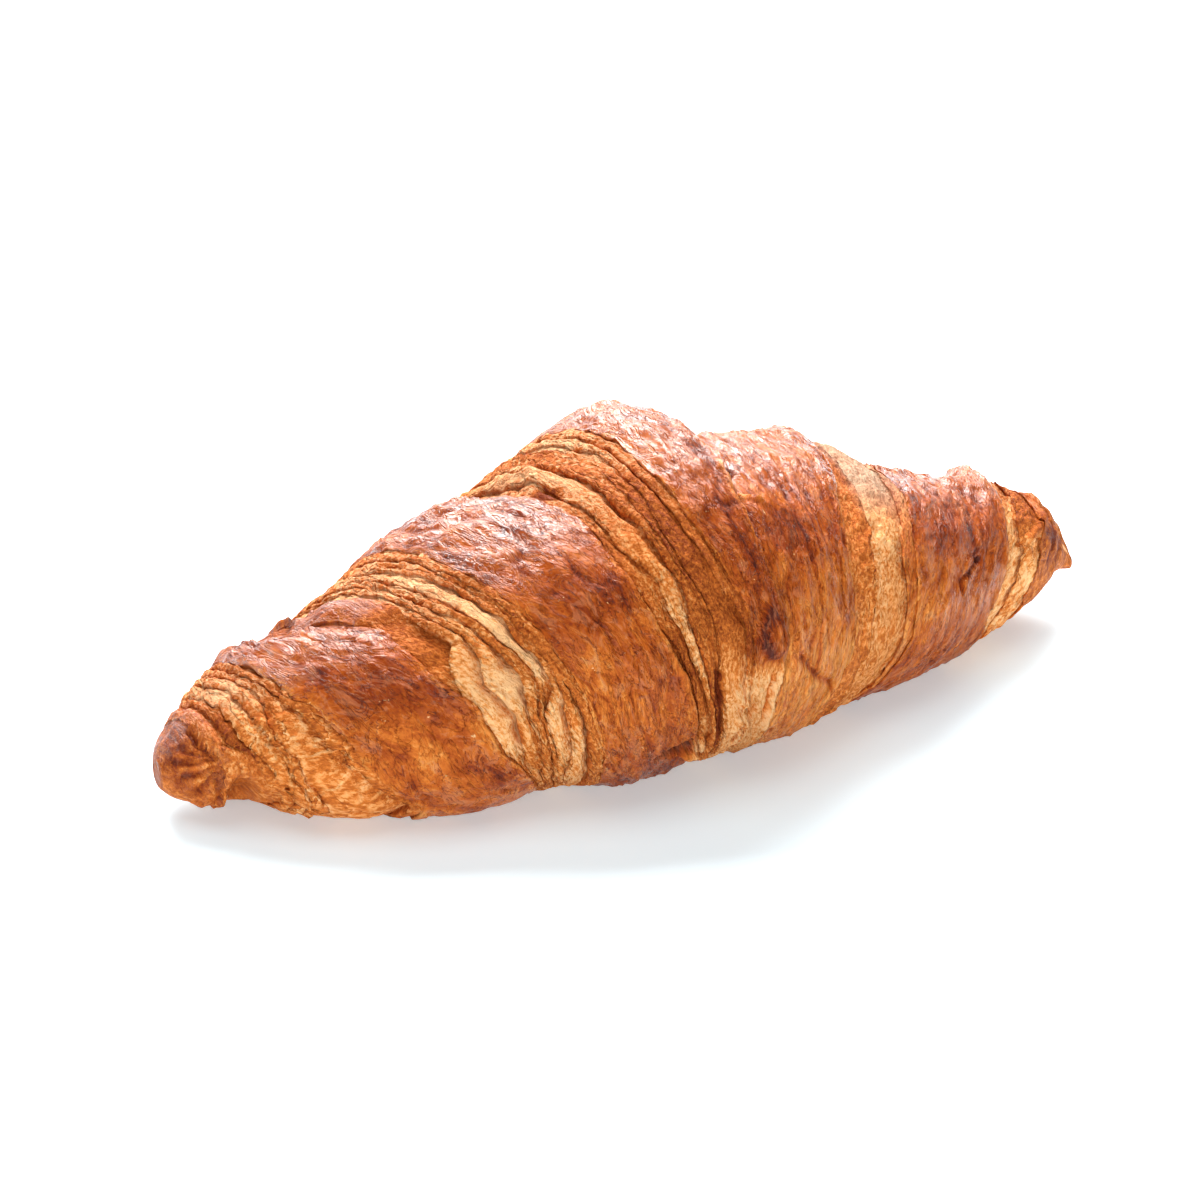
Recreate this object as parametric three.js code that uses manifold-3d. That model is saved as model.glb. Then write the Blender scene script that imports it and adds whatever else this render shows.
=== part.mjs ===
// A straight butter croissant: one triangle of laminated dough, rolled up from its base to its point
// and baked as one piece. Each turn of the roll is narrower than the one beneath it, so both halves
// climb in steps towards the middle, and the cut edges of the dough run round the roll as helices.
// The tapered ends lift a little and sweep back, and the underside is flat where it sat on the tray.
//
// Millimetres, +Z up. X runs along the roll, -Y is the side that the dough's point ends on, and the
// origin is the middle of the footprint, on the surface the croissant rests on.
import * as THREE from "three";
import { ParametricGeometry } from "three/addons/geometries/ParametricGeometry.js";
import { mergeVertices } from "three/addons/utils/BufferGeometryUtils.js";
import Module from "manifold-3d";

// ---- Driving dimensions ------------------------------------------------------------------------
const LENGTH = 176; // tip to tip
const HEIGHT = 52.6; // crest of the smooth body, before the plies add their steps
const WIDTH = 70; // widest part of the smooth body
const SQUARENESS = 2.3; // exponent of the oval section: 2 is an ellipse, more is boxier
const SLICES = 76; // sections along the roll, tips included
const SPOKES = 44; // points round each section
const RISER = 0.7; // half the length over which a ply's cut edge drops to the ply below

// The smooth body. Stations along the roll as shares of half the length; crest and underside as
// shares of the height, half width as a share of half the width, and sweep, the sideways shift, of
// half the width. An underside below 0 is cut off flat by the tray.
const STATIONS = [
  { at: -1.0, crest: 0.207, under: 0.109, half: 0.06, sweep: 0.36 },
  { at: -0.985, crest: 0.238, under: 0.083, half: 0.13, sweep: 0.365 },
  { at: -0.966, crest: 0.259, under: 0.07, half: 0.18, sweep: 0.365 },
  { at: -0.92, crest: 0.311, under: 0.073, half: 0.27, sweep: 0.35 },
  { at: -0.864, crest: 0.389, under: 0.057, half: 0.371, sweep: 0.32 },
  { at: -0.78, crest: 0.472, under: 0.01, half: 0.48, sweep: 0.25 },
  { at: -0.659, crest: 0.568, under: -0.029, half: 0.586, sweep: 0.171 },
  { at: -0.432, crest: 0.741, under: -0.028, half: 0.757, sweep: 0.086 },
  { at: -0.193, crest: 0.913, under: -0.021, half: 0.9, sweep: 0.029 },
  { at: -0.06, crest: 0.99, under: -0.021, half: 0.97, sweep: 0.012 },
  { at: 0.045, crest: 1.0, under: -0.031, half: 1.0, sweep: 0 },
  { at: 0.273, crest: 0.856, under: -0.038, half: 0.829, sweep: 0 },
  { at: 0.489, crest: 0.71, under: -0.01, half: 0.72, sweep: 0.014 },
  { at: 0.682, crest: 0.565, under: 0, half: 0.55, sweep: 0.014 },
  { at: 0.841, crest: 0.495, under: 0.062, half: 0.4, sweep: -0.014 },
  { at: 0.93, crest: 0.392, under: 0.13, half: 0.24, sweep: -0.05 },
  { at: 0.97, crest: 0.295, under: 0.145, half: 0.12, sweep: -0.1 },
  { at: 1.0, crest: 0.207, under: 0.145, half: 0.05, sweep: -0.15 },
];

// The cut edges of the plies, from the left tip to the right one: where each crosses the crest, the
// front and the back of the roll. Then the relief, which is how far the surface stands off the smooth
// body: before, just outside the edge towards the left tip; past, just beyond it; and middle, halfway
// to the next edge.
const EDGES = [
  { crest: -78.5, front: -78, back: -80.5, before: -0.5, past: -0.1, middle: 0.3 },
  { crest: -76, front: -75, back: -78.5, before: -0.3, past: 0.1, middle: 0.3 },
  { crest: -73, front: -70, back: -76.3, before: -0.3, past: -0.1, middle: -0.3 },
  { crest: -69.5, front: -61, back: -73.8, before: -0.7, past: 0.7, middle: 0.8 },
  { crest: -57, front: -42, back: -66, before: -0.3, past: -1.2, middle: -0.5 },
  { crest: -40.5, front: -29, back: -50, before: 0.2, past: 1.3, middle: 1.5 },
  { crest: -21.5, front: -13.5, back: -32, before: -0.3, past: -1.4, middle: -0.6 },
  { crest: -6, front: -2.5, back: -14, before: 0.2, past: 1.3, middle: 1.7 },
  { crest: 7, front: 4, back: 13, before: 1.2, past: -0.8, middle: 0.8 },
  { crest: 33, front: 20, back: 42, before: 0.6, past: -0.4, middle: 0 },
  { crest: 37, front: 25, back: 46, before: 0.3, past: -0.6, middle: -0.2 },
  { crest: 49, front: 34, back: 58, before: -0.8, past: -0.2, middle: 1.0 },
  { crest: 73.5, front: 60.5, back: 77.5, before: 0.6, past: -0.8, middle: -0.3 },
  { crest: 77, front: 70, back: 80, before: -0.2, past: -0.4, middle: 0.2 },
  { crest: 80.5, front: 77.5, back: 82.5, before: -0.5, past: -0.2, middle: 0.2 },
];
const CARRIES_ON = 1.5; // an edge's shift 150 degrees round the roll, as a share of that at 90

// The ply on top is the point of the triangle: the one past this edge. Its relief runs out low on
// the front, where the point ends, and comes back under the roll.
const TONGUE = 7;
const TONGUE_ROUND = [
  [-180, 0],
  [-150, 1],
  [86, 1],
  [100, 0],
  [180, 0],
];

// ---- Shape -------------------------------------------------------------------------------------
// A smooth curve through the points (xs, ys): a cubic in each gap, with the slope at each point
// taken from its two neighbours.
function through(xs, ys, x) {
  const last = xs.length - 1;
  const slope = (i) => {
    const a = Math.max(i - 1, 0);
    const b = Math.min(i + 1, last);
    return (ys[b] - ys[a]) / (xs[b] - xs[a]);
  };
  let i = 0;
  while (i < last - 1 && x > xs[i + 1]) i++;
  const gap = xs[i + 1] - xs[i];
  const t = THREE.MathUtils.clamp((x - xs[i]) / gap, 0, 1);
  const before = (1 + 2 * t) * (1 - t) ** 2 * ys[i] + t * (1 - t) ** 2 * gap * slope(i);
  const after = t * t * (3 - 2 * t) * ys[i + 1] + t * t * (t - 1) * gap * slope(i + 1);
  return before + after;
}

// The straight line through the points (xs, ys) instead, held level past both ends.
function straight(xs, ys, x) {
  let i = 0;
  while (i < xs.length - 2 && x > xs[i + 1]) i++;
  const t = THREE.MathUtils.clamp((x - xs[i]) / (xs[i + 1] - xs[i]), 0, 1);
  return THREE.MathUtils.lerp(ys[i], ys[i + 1], t);
}

const stationAt = STATIONS.map((s) => (s.at * LENGTH) / 2);
const crestAt = (x) => through(stationAt, STATIONS.map((s) => s.crest * HEIGHT), x);
const underAt = (x) => through(stationAt, STATIONS.map((s) => s.under * HEIGHT), x);
const halfAt = (x) => through(stationAt, STATIONS.map((s) => (s.half * WIDTH) / 2), x);
const sweepAt = (x) => through(stationAt, STATIONS.map((s) => (s.sweep * WIDTH) / 2), x);
const ovalPower = (v) => Math.sign(v) * Math.abs(v) ** (2 / SQUARENESS);

// The relief along the roll is a chain of points: two for each edge, a riser's length apart, and
// one halfway to the next edge. Between the tip and the first edge it starts from nothing.
const PROFILE = [{ edge: -1, shift: 0, relief: 0 }];
EDGES.forEach((e, i) => {
  PROFILE.push({ edge: i, shift: -RISER, relief: e.before });
  PROFILE.push({ edge: i, shift: RISER, relief: e.past });
  PROFILE.push({ edge: i + 0.5, shift: 0, relief: e.middle });
});
PROFILE.push({ edge: EDGES.length, shift: 0, relief: 0 });

// Where edge i lies along the roll at this angle, in degrees from the crest towards the front. It
// comes back under the roll, where the base is pressed flat. The tips stand in for edges past the ends.
function edgeX(i, angle) {
  if (i < 0) return -LENGTH / 2;
  if (i >= EDGES.length) return LENGTH / 2;
  const { crest, front, back } = EDGES[i];
  const lowFront = crest + (front - crest) * CARRIES_ON;
  const lowBack = crest + (back - crest) * CARRIES_ON;
  const below = (front + back) / 2;
  const round = [-180, -150, -90, 0, 90, 150, 180];
  return through(round, [below, lowBack, back, crest, front, lowFront, below], angle);
}

// Where profile point p lies along the roll at this angle.
function alongRoll(p, angle) {
  const low = Math.floor(p.edge);
  const share = p.edge - low;
  return THREE.MathUtils.lerp(edgeX(low, angle), edgeX(Math.ceil(p.edge), angle), share) + p.shift;
}

// Sections crowd towards the tips, where the body rounds off. Between them they are evenly spread
// over the profile's points, so that every riser keeps its sections at every angle.
const TIP_SECTIONS = 5;
function sectionIndex(u) {
  const step = u * SLICES;
  const last = PROFILE.length - 1;
  if (step < TIP_SECTIONS) return 1 - Math.cos((step / TIP_SECTIONS) * (Math.PI / 2));
  if (step > SLICES - TIP_SECTIONS) {
    return last - 1 + Math.sin((1 - (SLICES - step) / TIP_SECTIONS) * (Math.PI / 2));
  }
  return 1 + ((step - TIP_SECTIONS) / (SLICES - 2 * TIP_SECTIONS)) * (last - 2);
}

// A point of the surface: u runs along the roll from tip to tip, v round it from the underside, up
// the front and down the back.
function surface(u, v, target) {
  const angle = 180 - 360 * v;
  const index = sectionIndex(u);
  const marks = PROFILE.map((p, i) => i);
  const x = straight(marks, PROFILE.map((p) => alongRoll(p, angle)), index);
  let relief = straight(marks, PROFILE.map((p) => p.relief), index);
  const tongueStart = 2 + 3 * TONGUE;
  if (index > tongueStart - 0.5 && index < tongueStart + 2.5) {
    relief *= straight(TONGUE_ROUND.map((p) => p[0]), TONGUE_ROUND.map((p) => p[1]), angle);
  }
  const nearTip = Math.min(x + LENGTH / 2, LENGTH / 2 - x);
  relief *= THREE.MathUtils.smoothstep(nearTip, 0, 6);
  const turn = THREE.MathUtils.degToRad(angle);
  const side = ovalPower(Math.sin(turn));
  const rise = ovalPower(Math.cos(turn));
  const middle = (crestAt(x) + underAt(x)) / 2;
  const reach = (crestAt(x) - underAt(x)) / 2;
  const atTip = u === 0 || u === 1;
  const width = atTip ? 0 : halfAt(x) + relief;
  const tall = atTip ? 0 : reach + relief;
  target.set(x, sweepAt(x) - width * side, middle + tall * rise);
}

// ---- Solid -------------------------------------------------------------------------------------
const wasm = await Module();
wasm.setup();

// A closed geometry as a manifold-3d solid: shared vertices merged, faces with no area left out.
function solidOf(geometry) {
  const bare = geometry.clone();
  bare.deleteAttribute("normal");
  bare.deleteAttribute("uv");
  const merged = mergeVertices(bare, 1e-3);
  const corners = merged.index.array;
  const kept = [];
  for (let i = 0; i < corners.length; i += 3) {
    const [a, b, c] = [corners[i], corners[i + 1], corners[i + 2]];
    if (a !== b && b !== c && c !== a) kept.push(a, b, c);
  }
  return new wasm.Manifold(
    new wasm.Mesh({
      numProp: 3,
      vertProperties: merged.attributes.position.array,
      triVerts: new Uint32Array(kept),
    }),
  );
}

function geometryOf(solid) {
  const mesh = solid.getMesh();
  const geometry = new THREE.BufferGeometry();
  geometry.setAttribute("position", new THREE.BufferAttribute(mesh.vertProperties, 3));
  geometry.setIndex(new THREE.BufferAttribute(mesh.triVerts, 1));
  geometry.computeVertexNormals();
  return geometry;
}

// The tray: everything below z = 0 is pressed flat in baking, so it is cut away.
function tray() {
  const box = new THREE.BoxGeometry(2 * LENGTH, 2 * WIDTH, HEIGHT);
  return solidOf(box.translate(0, 0, -HEIGHT / 2));
}

function croissant() {
  const rolled = new ParametricGeometry(surface, SLICES, SPOKES);
  const geometry = geometryOf(solidOf(rolled).subtract(tray()));
  geometry.computeBoundingBox();
  const centre = geometry.boundingBox.getCenter(new THREE.Vector3());
  geometry.translate(-centre.x, -centre.y, 0);
  const crust = new THREE.MeshStandardMaterial({ color: 0xb5642a, roughness: 0.45, metalness: 0 });
  const mesh = new THREE.Mesh(geometry, crust);
  mesh.name = "croissant";
  return mesh;
}

const part = new THREE.Group();
part.add(croissant());

export default part;
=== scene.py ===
import itertools
import math

import bpy
import numpy as np
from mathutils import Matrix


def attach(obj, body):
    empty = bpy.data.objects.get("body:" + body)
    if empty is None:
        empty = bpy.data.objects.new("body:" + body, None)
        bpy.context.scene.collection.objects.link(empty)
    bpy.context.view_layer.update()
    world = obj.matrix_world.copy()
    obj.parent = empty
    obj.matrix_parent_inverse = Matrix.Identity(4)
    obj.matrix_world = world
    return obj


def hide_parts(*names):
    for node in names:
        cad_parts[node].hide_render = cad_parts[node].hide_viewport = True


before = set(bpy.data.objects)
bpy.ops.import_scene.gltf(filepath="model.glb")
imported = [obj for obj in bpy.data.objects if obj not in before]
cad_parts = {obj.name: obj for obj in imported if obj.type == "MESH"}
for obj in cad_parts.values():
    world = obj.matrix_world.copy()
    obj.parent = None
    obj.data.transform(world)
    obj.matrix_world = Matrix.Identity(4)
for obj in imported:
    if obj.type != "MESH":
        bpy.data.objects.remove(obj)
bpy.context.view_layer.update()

# ==== The croissant ===============================================================================
# One triangle of laminated dough rolled up from its base to its point, brushed with egg and baked
# until the skin is glossy brown. Where a turn of the roll ends, its cut edge shows the dough's thin
# layers: pale, dry and sandy inside, toasted along their rims. It is one closed skin.

MM = 0.001
LENGTH = 176.0
HEIGHT = 52.6
WIDTH = 70.0
SQUARENESS = 2.3
FOOTPRINT_SHIFT = -0.15  # across the roll, so that the whole footprint is centred

# Stations along the roll: place, crest, underside, half width and sideways sweep, as shares of half
# the length, the height, the height, half the width and half the width.
STATIONS = np.array(
    [
        (-1.0, 0.207, 0.109, 0.06, 0.36),
        (-0.985, 0.238, 0.083, 0.13, 0.365),
        (-0.966, 0.259, 0.07, 0.18, 0.365),
        (-0.92, 0.311, 0.073, 0.27, 0.35),
        (-0.864, 0.389, 0.057, 0.371, 0.32),
        (-0.78, 0.472, 0.01, 0.48, 0.25),
        (-0.659, 0.568, -0.029, 0.586, 0.171),
        (-0.432, 0.741, -0.028, 0.757, 0.086),
        (-0.193, 0.913, -0.021, 0.9, 0.029),
        (-0.06, 0.99, -0.021, 0.97, 0.012),
        (0.045, 1.0, -0.031, 1.0, 0),
        (0.273, 0.856, -0.038, 0.829, 0),
        (0.489, 0.71, -0.01, 0.72, 0.014),
        (0.682, 0.565, 0, 0.55, 0.014),
        (0.841, 0.495, 0.062, 0.4, -0.014),
        (0.93, 0.392, 0.13, 0.24, -0.05),
        (0.97, 0.295, 0.145, 0.12, -0.1),
        (1.0, 0.207, 0.145, 0.05, -0.15),
    ]
)

# The turns of the roll: where the edge of each crosses the crest, the front and the back.
TURNS = np.array(
    [
        (-78.5, -78, -80.5),
        (-76, -75, -78.5),
        (-73, -70, -76.3),
        (-69.5, -61, -73.8),
        (-57, -42, -66),
        (-40.5, -29, -50),
        (-21.5, -13.5, -32),
        (-6, -2.5, -14),
        (7, 4, 13),
        (33, 20, 42),
        (37, 25, 46),
        (49, 34, 58),
        (73.5, 60.5, 77.5),
        (77, 70, 80),
        (80.5, 77.5, 82.5),
    ],
    float,
)
CARRIES_ON = 1.5  # an edge's shift 150 degrees round the roll, as a share of that at 90

# The rims of the dough's layers, from the left tip to the right one. Each is a line round the roll,
# given by points: the angle from the crest towards the front, and the place along the roll,
# as the place on the crest that the turns carry it from. Then the height of the skin over the smooth
# body just before the line, and just past it; a height may change with the angle. Last come what lies
# past the line, up to the next one: its height halfway, how far it is glazed, and how brown it is.
RIMS = [
    # The edge of the left tip's own skin, and the five cut layers beside it.
    dict(
        at=[(-30, -82.6), (20, -82.3), (35, -82), (50, -81.5), (62, -80.9), (80, -80.9), (110, -81.5)],
        before=0.1, past=0.35, middle=0.3, glaze=0.45, brown=[(0, 0.55), (60, 0.42), (110, 0.48)],
    ),
    dict(
        at=[(-30, -79.6), (0, -79), (10, -78.9), (20, -79.3), (30, -79.6), (45, -79.1), (60, -78),
            (70, -77.2), (80, -76.4), (90, -76), (100, -75.5), (115, -74.9)],
        before=-0.7, past=-0.25, middle=-0.4, glaze=0.25,
        brown=[(0, 0.5), (25, 0.75), (60, 0.75), (85, 0.45)],
    ),
    dict(
        at=[(-30, -78.2), (0, -77.7), (15, -77.6), (30, -77.5), (40, -77.6), (50, -77.3), (60, -76.9),
            (70, -76.3), (80, -75.5), (90, -75), (100, -74.6), (115, -74)],
        before=-0.9, past=-0.1, middle=-0.2, glaze=0,
        brown=[(-20, 0.36), (20, 0.3), (60, 0.34), (100, 0.38)],
    ),
    dict(
        at=[(-30, -76), (0, -75.4), (20, -75), (40, -75), (60, -74.9), (75, -74.1), (90, -73.7),
            (105, -73.2), (120, -72.9)],
        before=-0.7, past=-0.1, middle=-0.3, glaze=0, brown=0.4,
    ),
    dict(
        at=[(-30, -74), (0, -73.2), (15, -72.7), (20, -72.9), (28, -73.1), (34, -73.6), (42, -74),
            (50, -74), (60, -74.1), (68, -74), (75, -73.4), (85, -72.9), (100, -72.7), (120, -72.4)],
        before=-1, past=-0.4, middle=-0.4, glaze=0,
        brown=[(0, 0.5), (30, 0.48), (60, 0.42), (110, 0.38)],
    ),
    dict(
        at=[(-30, -72.2), (0, -71.9), (20, -71.3), (30, -71.2), (50, -71.1), (60, -70.9), (70, -70.6),
            (80, -70.2), (90, -69.8), (100, -69.3), (110, -68.7), (120, -67.8)],
        before=-1.1, past=-0.1, middle=-0.1, glaze=0.1, brown=0.5,
    ),
    # The first glazed turn.
    dict(
        at=[(-30, -70.8), (0, -70.4), (10, -70.2), (30, -70.2), (50, -70), (60, -69.9), (80, -69.6),
            (85, -69.4), (92, -69), (100, -68.5), (110, -67.8), (120, -66.9)],
        before=-0.3, past=0.7, middle=1.4, glaze=1,
        brown=[(-10, 0.6), (40, 0.62), (70, 0.5), (90, 0.42), (115, 0.35)],
    ),
    # A small glazed flap on its shoulder, and the cut layers under it.
    dict(
        at=[(-90, -54), (-45, -54), (-35, -55.5), (-25, -59.5), (-15, -59.3), (-10, -58.3), (-5, -57.2),
            (0, -56.5), (5, -56), (10, -55.7), (15, -55.6), (20, -56), (30, -56.8), (40, -57.4),
            (50, -57.8), (60, -58), (70, -57.6), (80, -57.8), (90, -58), (100, -57.6), (105, -57),
            (115, -57.3)],
        before=[(-90, 0.3), (-55, 0.1), (-30, -0.5), (0, 0.3)],
        past=[(-150, 0.2), (-60, 0.2), (-38, 0.4), (-20, 1.4), (5, 0.3), (12, -0.7), (60, -1)],
        middle=[(-20, 1.8), (5, 0.6), (15, -1), (60, -0.9)], glaze=[(-10, 0.7), (2, 0.5), (10, 0)],
        brown=[(-10, 0.75), (5, 0.65), (15, 0.6), (40, 0.6), (60, 0.3), (70, 0.55), (110, 0.5)],
    ),
    dict(
        at=[(-25, -54.5), (-13, -52.6), (-5, -51.4), (0, -50.6), (10, -50.2), (20, -50.3), (30, -49.9),
            (36, -50), (40, -51.6), (44, -53.6), (50, -55), (56, -56), (62, -56.9), (70, -57),
            (80, -57.2), (90, -57.3), (100, -56.9), (112, -56.3)],
        before=[(-25, 0.6), (0, 0.4), (10, -0.2), (22, -1.6), (50, -1.6), (62, -1.1), (80, -0.9)],
        past=[(-25, -0.5), (10, -0.4), (30, -0.3), (60, -0.3), (80, -0.6)],
        middle=[(0, -0.5), (60, -0.4), (80, -0.6)], glaze=0,
        brown=[(-20, 0.3), (0, 0.35), (20, 0.45), (40, 0.25), (60, 0.12), (95, 0.1), (108, 0.35)],
    ),
    dict(
        at=[(-25, -51), (-10, -49.6), (0, -48.8), (20, -49), (35, -48.4), (44, -49.2), (52, -50.9),
            (60, -52.2), (66, -52.4), (72, -52.3), (80, -52), (88, -52.6), (95, -53.7), (101, -55),
            (108, -55.6), (118, -55.9)],
        before=[(0, -0.6), (40, -1.1), (60, -1.5), (70, -2.1), (88, -2.1), (98, -1), (110, -0.8)],
        past=[(0, -0.2), (60, -0.1), (90, 0), (105, -0.4)],
        middle=[(0, -0.3), (60, -0.4), (75, -0.5), (100, -0.4)], glaze=0,
        brown=[(0, 0.4), (45, 0.35), (60, 0.05), (72, 0.02), (85, 0.35), (110, 0.4)],
    ),
    dict(
        at=[(-25, -49), (-10, -47.6), (0, -47.1), (20, -47.2), (35, -46.5), (47, -46.6), (56, -47.3),
            (65, -47.7), (75, -48.7), (80, -49.7), (88, -49.7), (95, -50.2), (101, -51.5), (110, -53.3),
            (120, -54.4)],
        before=[(0, -0.5), (40, -0.8), (55, -1.4), (70, -1.4), (82, -0.8), (110, -0.7)], past=0,
        middle=-0.1, glaze=0, brown=[(0, 0.45), (60, 0.45), (85, 0.4), (110, 0.4)],
    ),
    dict(
        at=[(-25, -46.8), (0, -45.7), (20, -45.1), (35, -45), (50, -45.1), (60, -45.2), (68, -45.4),
            (74, -46.6), (80, -47.8), (84, -48.4), (92, -48.5), (98, -48.9), (105, -50), (112, -51.2),
            (120, -52.6)],
        before=[(0, -0.5), (60, -0.6), (80, -0.5), (90, -0.8)],
        past=[(0, 0), (68, 0), (80, 0.1), (90, -0.1)],
        middle=[(0, -0.2), (60, -0.2), (76, -1.2), (84, -0.6), (90, -0.2)], glaze=0,
        brown=[(-20, 0.36), (8, 0.22), (30, 0.06), (66, 0), (72, 0.5), (82, 0.5), (88, 0.3)],
    ),
    dict(
        at=[(-25, -44.5), (0, -43), (8, -42.1), (15, -41.8), (25, -42), (35, -42.3), (45, -42.7),
            (55, -42.9), (62, -43.3), (68, -43.6), (73, -44.1), (77, -44.8), (80, -46), (84, -47.6),
            (90, -47.9), (98, -48.2), (105, -49.2), (112, -50.6), (120, -52)],
        before=[(0, -0.6), (12, -0.9), (62, -0.9), (70, -0.6), (76, -1.3), (82, -1.1), (90, -0.5)],
        past=[(0, 0), (70, 0.1), (80, 0), (100, -0.1)], middle=[(0, 0), (80, -0.2), (100, -0.2)],
        glaze=0, brown=[(0, 0.4), (40, 0.55), (70, 0.45), (80, 0.15), (100, 0.2), (115, 0.3)],
    ),
    dict(
        at=[(-25, -43.4), (0, -42.2), (8, -41.4), (15, -41.2), (35, -41.6), (55, -42.1), (68, -42.7),
            (78, -43.2), (86, -43.6), (90, -43.5), (95, -44), (99, -44.8), (106, -46.5), (114, -48.8),
            (120, -50.2)],
        before=[(0, -0.2), (60, -0.3), (78, -0.5), (86, -1.1), (97, -1.1), (106, -0.4)],
        past=[(0, 0.1), (90, 0.1)], middle=0, glaze=0,
        brown=[(0, 0.45), (40, 0.6), (75, 0.5), (90, 0.35), (98, 0.12), (115, 0.2)],
    ),
    dict(
        at=[(-25, -41.6), (0, -40.9), (10, -40.4), (20, -40.5), (30, -40.9), (40, -41), (50, -41.2),
            (58, -41.4), (65, -41.8), (72, -41.6), (78, -41.4), (85, -41.1), (92, -41), (98, -41.6),
            (104, -42.4), (110, -43.3), (118, -44.6)],
        before=[(0, -0.4), (40, -0.6), (60, -1.2), (98, -1.2), (110, -0.9)], past=0.6, middle=0.7,
        glaze=[(0, 0.3), (60, 0.3), (100, 0.2)], brown=0.5,
    ),
    # The second glazed turn.
    dict(
        at=[(-25, -39.5), (0, -39.8), (20, -39.8), (40, -39.7), (55, -40.2), (65, -40.3), (75, -40.3),
            (85, -40), (95, -39.8), (105, -40.4), (118, -42)],
        before=0.5, past=1, middle=1.7, glaze=1,
        brown=[(-10, 0.6), (20, 0.62), (50, 0.6), (70, 0.45), (90, 0.45), (105, 0.48), (115, 0.62)],
    ),
    # The fan of cut layers before the middle.
    dict(
        at=[(-25, -22), (-15, -22.5), (-10, -22.6), (0, -22), (10, -21.5), (20, -22), (30, -23),
            (38, -24), (45, -23.6), (55, -23.4), (65, -23.6), (70, -23.2), (76, -22.8), (82, -22.2),
            (88, -21.3), (95, -20.7), (102, -20.4), (108, -20.8), (118, -22)],
        before=0.6, past=[(0, -0.3), (30, -0.7), (42, -1.4), (100, -1.4), (110, -0.6)],
        middle=[(0, -0.5), (42, -1.3), (100, -1.3)], glaze=0.15,
        brown=[(0, 0.4), (35, 0.6), (45, 0.85), (95, 0.85), (110, 0.5)],
    ),
    dict(
        at=[(-25, -21), (0, -20.6), (20, -21), (30, -22), (40, -22.7), (55, -22.5), (66, -22.2),
            (75, -21), (85, -20), (95, -19.2), (105, -18.8), (118, -19.5)],
        before=[(0, -0.5), (40, -1.3), (100, -1.3)], past=[(0, -0.3), (60, -0.6), (80, -0.8)],
        middle=[(0, -0.4), (60, -0.8), (80, -1)], glaze=0.1,
        brown=[(-10, 0.4), (10, 0.5), (35, 0.6), (55, 0.45), (64, 0.45), (72, 0.75), (92, 0.7),
               (105, 0.4)],
    ),
    dict(
        at=[(-20, -18.5), (-10, -18), (0, -18.3), (10, -18.7), (20, -19), (30, -19.9), (40, -19.4),
            (48, -18.8), (55, -19.3), (62, -19.5), (70, -19.2), (78, -18.7), (84, -18.3), (90, -17.5),
            (96, -16.8), (104, -16.3)],
        before=[(-10, -0.5), (20, -0.9), (50, -1), (62, -1.3), (85, -1.3), (100, -0.8)],
        past=[(-25, 0.6), (10, -0.1), (60, -0.2)], middle=[(-25, 0.8), (10, -0.1), (60, -0.3)], glaze=0,
        brown=[(-12, 0.4), (0, 0.42), (45, 0.4), (62, 0.24), (80, 0.18), (95, 0.45)],
    ),
    dict(
        at=[(-20, -15.5), (-10, -14.5), (0, -13.9), (10, -14.2), (20, -14.7), (28, -14.8), (35, -15),
            (43, -15.2), (50, -15), (57, -15.1), (60, -15.6), (65, -16.5), (70, -16.6), (76, -16.6),
            (82, -16.2), (88, -16), (95, -15.6), (104, -15)],
        before=[(-10, -0.6), (8, -1.2), (15, -1.9), (28, -1.9), (35, -1.2), (43, -1.7), (50, -1.1),
                (60, -1.3), (75, -1.4), (90, -0.9)],
        past=-0.1, middle=-0.2, glaze=0.1,
        brown=[(-15, 0.55), (10, 0.6), (50, 0.55), (90, 0.6), (100, 0.85)],
    ),
    dict(
        at=[(-25, -13), (-15, -11.6), (-5, -10.9), (2, -11.1), (10, -12), (18, -12.9), (25, -13.7),
            (32, -14.2), (42, -14.4), (50, -14.3), (57, -14.2), (65, -13.9), (72, -13.6), (80, -14),
            (90, -14.4), (100, -13.8)],
        before=[(-25, 0.3), (-5, 0.2), (5, -0.4), (60, -0.4)],
        past=[(-25, -0.6), (-5, -0.5), (5, -0.1), (60, -0.1)], middle=-0.3, glaze=0.05,
        brown=[(-15, 0.4), (10, 0.75), (30, 0.85), (60, 0.7), (90, 0.5)],
    ),
    dict(
        at=[(-25, -9.5), (-3, -8.6), (5, -9.2), (12, -9.9), (20, -10.8), (28, -12), (35, -13),
            (42, -13.5), (50, -13.3), (60, -12.9), (70, -12.7), (80, -13), (90, -13.6), (100, -13)],
        before=-0.45, past=-0.05, middle=-0.2, glaze=0.1,
        brown=[(-15, 0.4), (10, 0.7), (30, 0.8), (60, 0.7), (75, 0.6), (88, 0.35), (95, 0.15)],
    ),
    dict(
        at=[(-25, -7), (-10, -6.4), (-5, -6.3), (2, -6.9), (8, -7.5), (14, -8), (20, -8.5), (26, -9.1),
            (33, -9.3), (40, -9.4), (50, -9.4), (58, -9.2), (61, -8.8), (66, -7.5), (70, -6.7),
            (75, -6.1), (82, -6.4), (90, -7), (100, -8)],
        before=[(-10, -1), (15, -1.2), (25, -0.5), (45, -0.4), (60, -0.4), (70, -0.8), (90, -0.8)],
        past=[(-10, 0.2), (20, 0.1), (45, 0.2), (70, 0.4), (88, 0.2), (95, -0.8)],
        middle=[(-10, 0.2), (80, 0.3), (95, -0.8)], glaze=[(-10, 0.2), (40, 0.4), (86, 0.5), (92, 0)],
        brown=[(0, 0.5), (60, 0.6), (86, 0.7), (93, 0.15)],
    ),
    # The middle turn, glazed, with the burnt knob on its front.
    dict(
        at=[(-25, -5.4), (-5, -4.9), (2, -5.6), (10, -6.5), (18, -7.1), (25, -7.6), (40, -7.7),
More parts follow.
